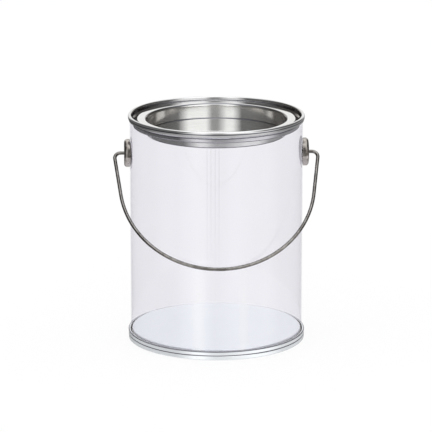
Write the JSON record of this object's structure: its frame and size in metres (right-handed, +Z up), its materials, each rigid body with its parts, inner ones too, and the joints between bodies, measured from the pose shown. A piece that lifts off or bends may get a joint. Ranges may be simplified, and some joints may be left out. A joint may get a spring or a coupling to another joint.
{
  "type": "paint can",
  "caption": "Clear plastic paint can with steel ends, a push-in friction lid, button ears and a swinging wire bail handle.",
  "frame": {"origin": "on the can's axis, in the plane of the foot it stands on", "axes": "+Z up along the can's axis, the ears on -X and +X, the bail resting against the front at -Y"},
  "size_m": [0.1288, 0.1117, 0.1434],
  "materials": {
    "clear_plastic": "clear, smooth",
    "tinplate": "bright tinplate with fine turning lines",
    "lid_tinplate": "bright tinplate with a warm tint",
    "ear_steel": "nickel plated",
    "wire": "drawn wire",
    "seal": "matt sealing compound"
  },
  "bodies": {
    "can": {"body_wall": "clear_plastic", "top_ring": "tinplate", "top_seam_seal": "seal", "bottom_end": "tinplate", "bottom_seam_seal": "seal", "left_ear_cap": "ear_steel", "left_ear_plate": "ear_steel", "left_ear_washer": "ear_steel", "left_ear_rivet": "ear_steel", "right_ear_cap": "ear_steel", "right_ear_plate": "ear_steel", "right_ear_washer": "ear_steel", "right_ear_rivet": "ear_steel"},
    "lid": {"lid": "lid_tinplate"},
    "handle": {"bail_handle": "wire"}
  },
  "joints": [
    {"name": "handle_swing", "type": "hinge", "parent": "can", "child": "handle", "pos_m": [0, 0, 0.1188], "axis": [-1, 0, 0], "range_deg": [0, 275]},
    {"name": "lid_lift", "type": "slide", "parent": "can", "child": "lid", "axis": [0, 0, 1], "range_m": [0, 0.03]}
  ]
}
